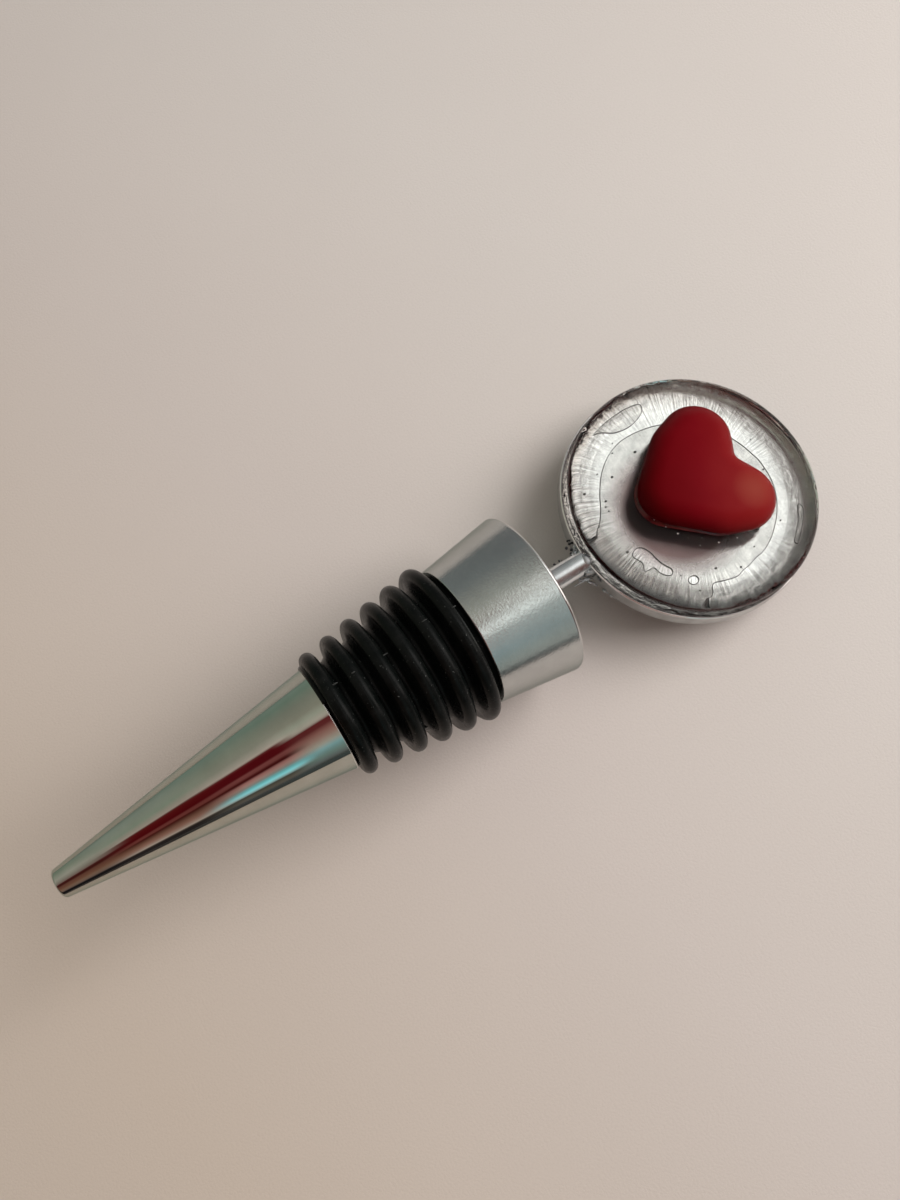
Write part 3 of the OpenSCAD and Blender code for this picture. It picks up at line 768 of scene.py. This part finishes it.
bm = head_turned([(0, TRAY_Z), (TRAY_R, TRAY_Z), (TRAY_R, LIP_Z), (TRAY_R - TRAY_WALL, LIP_Z),
                  (TRAY_R - TRAY_WALL, FLOOR_Z), (0, FLOOR_Z)])
ease_hoop(bm, TRAY_R, TRAY_Z, TRAY_EDGE_R)
ease_hoop(bm, TRAY_R, LIP_Z, LIP_ROUND, 4)
ease_hoop(bm, TRAY_R - TRAY_WALL, LIP_Z, LIP_ROUND, 4)
for face in bm.faces:
    middle = face.calc_center_median()
    out_here = math.hypot(middle.x - HEAD_X * MM, middle.y)
    if out_here > (TRAY_R - TRAY_WALL - 0.05) * MM:
        on_wall = out_here > (TRAY_R - 0.1) * MM and middle.z < (LIP_Z - LIP_ROUND) * MM
        face.material_index = 2 if on_wall else 1
tray = finished("round_tray", bm, "plated_tray", plated_tray, polished_edge, plated_wall_painted_shade, replaced="tray")
crisp(tray)


# --- Adhesive film --------------------------------------------------------------------
# Clear glue between the tray and the glass. It was pressed out to a round patch that ran to the lip on the near
# side, and it shows air pockets and small dark grains. The dark line along its edges is painted, in place of
# the darkening that refraction at those edges gives.
FILM_Z = 0.37
FILM_T = 0.11
EDGE_WIDTH = 0.09
FILM_OUTLINE = ((0, 13.2), (12, 12.9), (28, 12.7), (45, 12.6), (62, 12.6), (76, 12.65), (86, 12.85),
                (97, 13.2), (108, 13.6), (120, 13.8), (134, 13.9), (148, 14.0), (158, 14.3), (166, 15.1),
                (172, 16.4), (180, 17.1), (192, 17.3), (206, 17.25), (220, 17.3), (234, 17.25), (242, 17.0),
                (244.5, 16.3), (245, 15.4), (247, 14.75), (254, 14.7), (262, 14.75), (267, 14.35),
                (273, 14.2), (279, 13.98), (286, 14.13), (294, 14.08), (301, 14.0), (314, 13.93),
                (327, 13.9), (340, 13.75), (353, 13.45))
POCKETS = (((-8.9, -11.1), (-8.2, -10.85), (-7.5, -11.2), (-7.55, -11.9), (-8.3, -12.15), (-8.85, -11.8)),
           ((-13.7, -3.6), (-12.6, -2.9), (-11.7, -3.3), (-11.1, -4.5), (-10.95, -5.8), (-10.55, -7.2),
            (-10.0, -8.3), (-10.4, -9.0), (-11.2, -8.7), (-11.8, -7.8), (-12.05, -6.75),
            (-12.8, -6.6), (-13.6, -6.4), (-13.1, -5.2)))
SMEARS = (((-6.6, 16.2), (-5.4, 15.8), (-3.5, 14.65), (-1.2, 14.3), (0.7, 14.6), (2.5, 15.4), (3.1, 16.4),
           (2.6, 17.0), (0.0, 17.3), (-3.5, 17.0)),
          ((13.6, -10.4), (14.1, -10.9), (13.6, -12.0), (12.2, -13.3), (10.2, -14.9), (9.4, -15.4),
           (9.1, -14.9), (10.1, -14.0), (12.0, -12.4)))
GRAIN_HALF_HEIGHT = 0.05
GRAINS = ((-13.9, 8.6, 0.24), (-11.8, 5.9, 0.20), (-12.4, 5.1, 0.18), (-8.5, 8.7, 0.22), (-2.8, 10.3, 0.26),
          (-0.7, -13.7, 0.20), (-4.1, -11.8, 0.22), (-14.0, -2.6, 0.26), (-8.4, -13.3, 0.16),
          (-12.4, 4.3, 0.14), (11.6, 5.4, 0.18), (12.9, -2.8, 0.16), (9.6, -11.0, 0.15), (3.2, -12.2, 0.14),
          (-10.2, 10.3, 0.13), (-6.0, 12.0, 0.14), (-9.4, -9.9, 0.14), (14.6, 2.4, 0.12),
          (-15.2, 3.0, 0.13), (-4.9, 13.4, 0.12))

clear_film, tree, shader, spot = new_finish("clear_adhesive", {
    "Transmission Weight": 1.0,
    "IOR": 1.45,
    "Specular Tint": (0.05, 0.05, 0.05, 1.0),
})
mottled(tree, shader, "Base Color", spot, [(0.35, (0.84, 0.835, 0.83)), (0.7, (0.95, 0.945, 0.94))], 300.0, 3.0)
mottled(tree, shader, "Roughness", spot, [(0.3, 0.0), (0.7, 0.06)], 500.0, 2.0)

# Dark colour for the painted edge line of the glue and for its real small grains.
edge_line_and_grains, tree, shader, spot = new_finish("painted_edge_line_and_grains")
mottled(tree, shader, "Base Color", spot, [(0.35, (0.035, 0.030, 0.028)), (0.7, (0.13, 0.115, 0.11))],
        1800.0, 2.0)
shader.inputs["Roughness"].default_value = 0.35


def eased_loop(points, steps):
    """Points of a closed smooth curve through the given ones."""
    out = []
    count = len(points)
    for i in range(count):
        a, b, c, d = (Vector(points[(i + k) % count]) for k in (-1, 0, 1, 2))
        for k in range(steps):
            t = k / steps
            out.append(0.5 * (2 * b + (c - a) * t + (2 * a - 5 * b + 4 * c - d) * t * t
                              + (3 * b - a - 3 * c + d) * t ** 3))
    return out


def film_loop(bm, points, inward):
    """The loop of an outline and a second one beside it. Returns the second's edges."""
    area = sum(a.x * b.y - b.x * a.y for a, b in zip(points, points[1:] + points[:1]))
    side = (1.0 if area > 0 else -1.0) * (1.0 if inward else -1.0)
    beside = []
    for before, here, after in zip(points[-1:] + points[:-1], points, points[1:] + points[:1]):
        way = (after - before).normalized()
        beside.append(here + Vector((-way.y, way.x)) * EDGE_WIDTH * side)
    rings = []
    for line in (points, beside):
        verts = [bm.verts.new(((HEAD_X + p.x) * MM, p.y * MM, FILM_Z * MM)) for p in line]
        rings.append([bm.edges.new((verts[i - 1], verts[i])) for i in range(len(verts))])
    # The band along each outline takes the painted dark edge line.
    for face in bmesh.ops.bridge_loops(bm, edges=rings[0] + rings[1])["faces"]:
        face.material_index = 1
    return rings[1]


bm = bmesh.new()
patch = [Vector((r * math.cos(math.radians(a)), r * math.sin(math.radians(a)))) for a, r in FILM_OUTLINE]
inner_edges = film_loop(bm, eased_loop(patch, 6), True)
for pocket in POCKETS:
    inner_edges += film_loop(bm, eased_loop(pocket, 5), False)
bmesh.ops.triangle_fill(bm, use_beauty=True, use_dissolve=False, edges=inner_edges)
for smear in SMEARS:
    smear_edges = film_loop(bm, eased_loop(smear, 5), True)
    bmesh.ops.triangle_fill(bm, use_beauty=True, use_dissolve=False, edges=smear_edges)
bmesh.ops.recalc_face_normals(bm, faces=bm.faces)
risen = bmesh.ops.extrude_face_region(bm, geom=bm.faces[:], use_keep_orig=True)["geom"]
bmesh.ops.translate(bm, verts=[v for v in risen if isinstance(v, bmesh.types.BMVert)], vec=(0, 0, FILM_T * MM))
for x, y, r in GRAINS:
    second_finish(blob(bm, Matrix.Translation(((HEAD_X + x) * MM, y * MM, (FILM_Z + FILM_T / 2) * MM))
                       @ Matrix.Diagonal((r * MM, r * 0.8 * MM, GRAIN_HALF_HEIGHT * MM, 1.0))))
bmesh.ops.recalc_face_normals(bm, faces=bm.faces)
film = finished("adhesive_patch", bm, "clear_adhesive", clear_film, edge_line_and_grains, replaced="adhesive_film")
film.visible_shadow = False


# --- Glass disc -----------------------------------------------------------------------
# A thick disc of clear glass, melted round at its edges, so that its foot is slightly
# wavy. It is laid in the tray, pushed towards the far side.
GLASS_R = 19.6
GLASS_Z = 0.5
GLASS_TOP = 4.1
GLASS_SHIFT = 0.523
GLASS_EDGE_R = 1.5
GLASS_FOOT_R = 2.0
FOOT_WAVE = 0.50
FOOT_SWINGS = ((0.6, 4.1), (0.4, 13.0), (0.2, 33.0))

clear_glass, tree, shader, spot = new_finish("clear_glass", {
    "Transmission Weight": 1.0,
    "IOR": 1.5,
    "Specular Tint": (0.15, 0.15, 0.15, 1.0),
    "Roughness": 0.0,
})
mottled(tree, shader, "Base Color", spot, [(0.3, (0.95, 0.962, 0.952)), (0.7, (0.985, 0.99, 0.985))], 60.0, 2.0)
seeds = bumped(tree, shader, noise(tree, spot, 140.0, 1.0), 0.00004, 0.5)
bumped(tree, shader, noise(tree, spot, 900.0, 2.0), 0.000006, 0.35, under=seeds)

bm = head_turned([(0, GLASS_Z), (GLASS_R, GLASS_Z), (GLASS_R, GLASS_TOP), (0, GLASS_TOP)], 288, GLASS_SHIFT)
ease_hoop(bm, GLASS_R, GLASS_Z, GLASS_FOOT_R, 12, GLASS_SHIFT)
ease_hoop(bm, GLASS_R, GLASS_TOP, GLASS_EDGE_R, 10, GLASS_SHIFT)
centre = Vector(((HEAD_X + GLASS_SHIFT) * MM, 0.0, 0.0))
for v in bm.verts:
    out = Vector((v.co.x - centre.x, v.co.y, 0.0))
    if out.length < (GLASS_R - GLASS_FOOT_R - 0.05) * MM or v.co.z > (GLASS_Z + GLASS_FOOT_R) * MM:
        continue
    way = out.normalized()
    swing = sum(share * relief.noise(way * pace) for share, pace in FOOT_SWINGS)
    fade = 1.0 - (v.co.z / MM - GLASS_Z) / GLASS_FOOT_R
    v.co -= way * FOOT_WAVE * MM * max(0.0, 0.45 + swing) * fade
glass = finished("glass_disc_clear", bm, "clear_glass", clear_glass, replaced="glass_disc")
glass.visible_shadow = False
crisp(glass)


# --- Glue under the heart -------------------------------------------------------------
# A little clear glue pressed out round the heart's foot, with a few air beads in it. Its dark red is a painted
# reflection of the heart's dark wall seen through it, and the beads' pale colour is a painted glint.
GLUE_Z = 4.1
GLUE_SQUEEZE = 0.94
BEAD_RISE = 0.16
BEADS = ((-8.5, -1.0, 0.15), (-6.9, -4.7, 0.14), (-2.5, -9.1, 0.14), (-5.2, -8.0, 0.10), (-8.4, 2.7, 0.12),
         (-7.8, -2.9, 0.08), (-4.2, -7.2, 0.07), (0.4, -10.0, 0.10), (-6.0, -6.1, 0.06))

# Painted reflection: the glue's dark red stands for the heart's dark wall seen through it.
clear_glue, tree, shader, spot = new_finish("clear_glue", {"Transmission Weight": 0.35, "IOR": 1.45})
mottled(tree, shader, "Base Color", spot, [(0.3, (0.10, 0.006, 0.009)), (0.7, (0.20, 0.016, 0.020))],
        700.0, 2.0)
mottled(tree, shader, "Roughness", spot, [(0.3, 0.05), (0.7, 0.2)], 900.0, 2.0)

# Painted glint: the air beads' pale colour.
air_bead_painted_glint, tree, shader, spot = new_finish("air_bead_painted_glint")
mottled(tree, shader, "Base Color", spot, [(0.3, (0.42, 0.36, 0.36)), (0.7, (0.70, 0.64, 0.63))], 3000.0, 1.0)
shader.inputs["Roughness"].default_value = 0.15

bm = cad_form("heart_glue")
bmesh.ops.transform(bm, matrix=LAID.inverted(), verts=bm.verts)
bmesh.ops.scale(bm, verts=bm.verts, vec=(1.0, GLUE_SQUEEZE, 1.0),
                space=Matrix.Translation((-HEAD_X * MM, 0, 0)))
for x, y, r in BEADS:
    set_in = Matrix.Translation(((HEAD_X + x) * MM, y * MM, (GLUE_Z + BEAD_RISE) * MM))
    second_finish(bmesh.ops.create_icosphere(bm, subdivisions=2, radius=r * MM, matrix=set_in)["verts"])
glue = finished("heart_glue_rim", bm, "clear_glue", clear_glue, air_bead_painted_glint, replaced="heart_glue")
glue.visible_shadow = False


# --- Heart ----------------------------------------------------------------------------
# A domed heart-shaped button cast in deep red resin with a satin skin. It is glued to the
# glass, a little to one side.
HEART_GRID = 0.2
HEART_EASE = 14
HEART_CROWN = 13.0
LIT_SIDE_WAY = (0.83, -0.55, 0.0)
SHEEN_SPOT = (HEAD_X + 6.2, -5.6, GLUE_Z + 4.5)
SHEEN_RED = (0.225, 0.040, 0.026)

red_resin, tree, shader, spot = new_finish("red_resin")
# Painted light: the resin's red grows lighter towards the right-hand lobe, which faces the window, and a
# painted sheen lies on that lobe.
lit_side = vector_maths(tree, "DOT_PRODUCT", upright_place(tree), LIT_SIDE_WAY)
mottle = maths(tree, "MULTIPLY", noise(tree, spot, 160.0, 4.0, 0.6), 0.006)
lit_side_red = ramp(tree, maths(tree, "ADD", lit_side, mottle), [
    (0.0815, (0.086, 0.0001, 0.0016)), (0.0905, (0.135, 0.0012, 0.0045)), (0.0975, (0.175, 0.0080, 0.0085))])
# Painted sheen: a paler spot on the right-hand lobe.
painted_sheen = ramp(tree, span_from(tree, SHEEN_SPOT), [(0.0008, 1.0), (0.0040, 0.0)], smooth=True)
join(tree, blended(tree, painted_sheen, lit_side_red, SHEEN_RED), shader.inputs["Base Color"])
mottled(tree, shader, "Roughness", spot, [(0.3, 0.40), (0.7, 0.50)], 500.0, 3.0)
shader.inputs["Specular IOR Level"].default_value = 0.05
skin = bumped(tree, shader, noise(tree, spot, 1100.0, 2.0), 0.000008, 0.5)
# The dome's skin is a little fuller than its edge shows.
flat = head_flat(tree)
crown = maths(tree, "MULTIPLY", vector_maths(tree, "DOT_PRODUCT", flat, flat), -HEART_CROWN)
bumped(tree, shader, crown, 1.0, 1.0, under=skin)

bm = cad_form("heart")
heart = finished("domed_heart", bm, "red_enamel", red_resin, replaced="heart", laid=True)
even = heart.modifiers.new("even_skin", "REMESH")
even.mode = "VOXEL"
even.voxel_size = HEART_GRID * MM
even.use_smooth_shade = True
ease = heart.modifiers.new("eased_skin", "SMOOTH")
ease.factor = 0.5
ease.iterations = HEART_EASE
